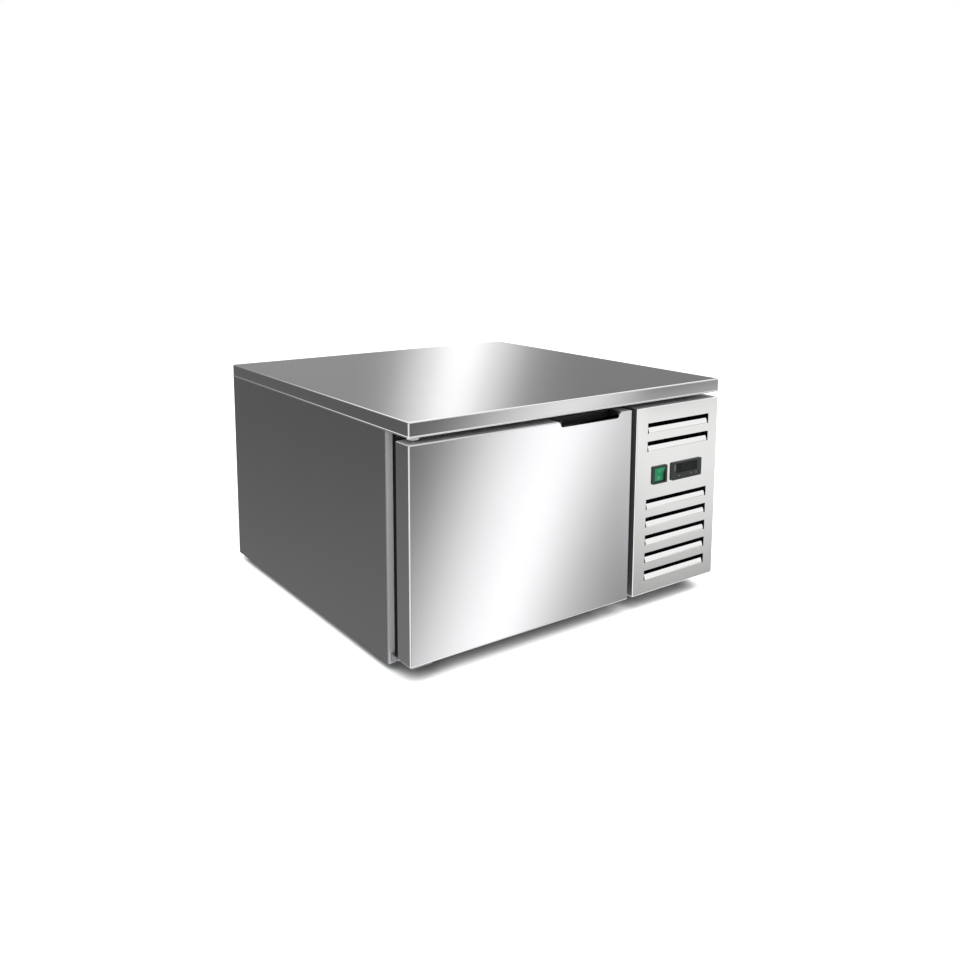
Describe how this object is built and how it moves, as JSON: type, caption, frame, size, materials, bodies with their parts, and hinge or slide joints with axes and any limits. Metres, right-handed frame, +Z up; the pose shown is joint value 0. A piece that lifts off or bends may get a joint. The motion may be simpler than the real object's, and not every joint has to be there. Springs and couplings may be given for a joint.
{
  "type": "blast chiller",
  "caption": "Counter-top blast chiller: low insulated stainless cabinet with a hinged door, louvred service panel, controller and green main switch, and a condensing unit beside the chamber.",
  "frame": {"origin": "on the floor under the middle of the bounding box", "axes": "+X to the right seen from the front, +Y to the rear, +Z up; the door faces -Y"},
  "size_m": [0.66, 0.668, 0.397],
  "materials": {
    "worktop_steel": "polished stainless sheet",
    "side_steel": "fine brushed stainless sheet",
    "door_steel": "polished stainless sheet",
    "panel_steel": "fine brushed stainless sheet",
    "frame_steel": "fine brushed stainless sheet",
    "inner_steel": "satin stainless sheet",
    "galvanised": "galvanised steel",
    "hinge_steel": "dark plated steel",
    "board": "sealed grey board",
    "foam": "rigid closed-cell foam",
    "coil_aluminium": "mill finish",
    "copper": "drawn copper",
    "black_enamel": "semi-gloss black paint",
    "black_plastic": "fine textured moulding",
    "grey_plastic": "moulded",
    "button_plastic": "moulded",
    "display_lens": "dark tinted window",
    "switch_green": "translucent green moulding",
    "gasket_rubber": "soft extruded profile",
    "foot_rubber": "moulded",
    "white_nylon": "turned nylon"
  },
  "bodies": {
    "cabinet": {"worktop_skin": "worktop_steel", "left_side_panel": "side_steel", "right_side_panel": "side_steel", "service_panel": "panel_steel", "front_frame": "frame_steel", "chamber_liner": "inner_steel", "left_pan_rack": "inner_steel", "right_pan_rack": "inner_steel", "evaporator_cover": "inner_steel", "rear_panel": "galvanised", "base_panel": "galvanised", "top_panel": "galvanised", "partition_panel": "galvanised", "condensing_unit_tray": "galvanised", "condenser_fan_shroud": "galvanised", "upper_hinge_plate": "hinge_steel", "upper_hinge_pin": "hinge_steel", "lower_hinge_bracket": "hinge_steel", "lower_hinge_pin": "hinge_steel", "worktop_core": "board", "cabinet_insulation": "foam", "evaporator_coil": "coil_aluminium", "evaporator_fan_guard": "coil_aluminium", "discharge_tube": "copper", "condenser_outlet_tube": "copper", "receiver_outlet_tube": "copper", "evaporator_feed_tube": "copper", "suction_tube": "copper", "filter_drier": "copper", "condenser_coil": "black_enamel", "compressor_shell": "black_enamel", "compressor_base_plate": "black_enamel", "liquid_receiver": "black_enamel", "evaporator_fan_motor": "black_enamel", "condenser_fan_motor": "black_enamel", "controller_housing": "black_plastic", "switch_housing": "black_plastic", "compressor_terminal_cover": "black_plastic", "cable_gland": "black_plastic", "air_sensor": "black_plastic", "electrical_box": "grey_plastic", "electrical_box_cover": "grey_plastic", "drain_tube": "grey_plastic", "display_window": "display_lens", "front_left_foot": "foot_rubber", "front_right_foot": "foot_rubber", "rear_left_foot": "foot_rubber", "rear_right_foot": "foot_rubber", "upper_hinge_bush": "white_nylon"},
    "door": {"door_outer_skin": "door_steel", "door_insulation": "foam", "door_inner_liner": "inner_steel", "door_gasket": "gasket_rubber", "door_handle": "black_plastic"},
    "main_switch": {"switch_rocker": "switch_green"},
    "button_1": {"controller_button_1": "button_plastic"},
    "button_2": {"controller_button_2": "button_plastic"},
    "button_3": {"controller_button_3": "button_plastic"},
    "evaporator_fan": {"evaporator_fan_blade": "coil_aluminium"},
    "condenser_fan": {"condenser_fan_blade": "coil_aluminium"}
  },
  "joints": [
    {"name": "door_swing", "type": "hinge", "parent": "cabinet", "child": "door", "pos_m": [-0.312, -0.313, 0.19625], "axis": [0, 0, -1], "range_deg": [0, 110]},
    {"name": "main_switch_rock", "type": "hinge", "parent": "cabinet", "child": "main_switch", "pos_m": [0.181, -0.3285, 0.241], "axis": [-1, 0, 0], "range_deg": [0, 18]},
    {"name": "button_1_press", "type": "slide", "parent": "cabinet", "child": "button_1", "axis": [0, 1, 0], "range_m": [0, 0.0008], "stiffness_N_per_m": 300},
    {"name": "button_2_press", "type": "slide", "parent": "cabinet", "child": "button_2", "axis": [0, 1, 0], "range_m": [0, 0.0008], "stiffness_N_per_m": 300},
    {"name": "button_3_press", "type": "slide", "parent": "cabinet", "child": "button_3", "axis": [0, 1, 0], "range_m": [0, 0.0008], "stiffness_N_per_m": 300},
    {"name": "evaporator_fan_spin", "type": "hinge", "parent": "cabinet", "child": "evaporator_fan", "pos_m": [-0.1095, 0.1377, 0.19625], "axis": [0, 1, 0], "continuous": true},
    {"name": "condenser_fan_spin", "type": "hinge", "parent": "cabinet", "child": "condenser_fan", "pos_m": [0.2205, -0.1868, 0.17215], "axis": [0, 1, 0], "continuous": true}
  ]
}
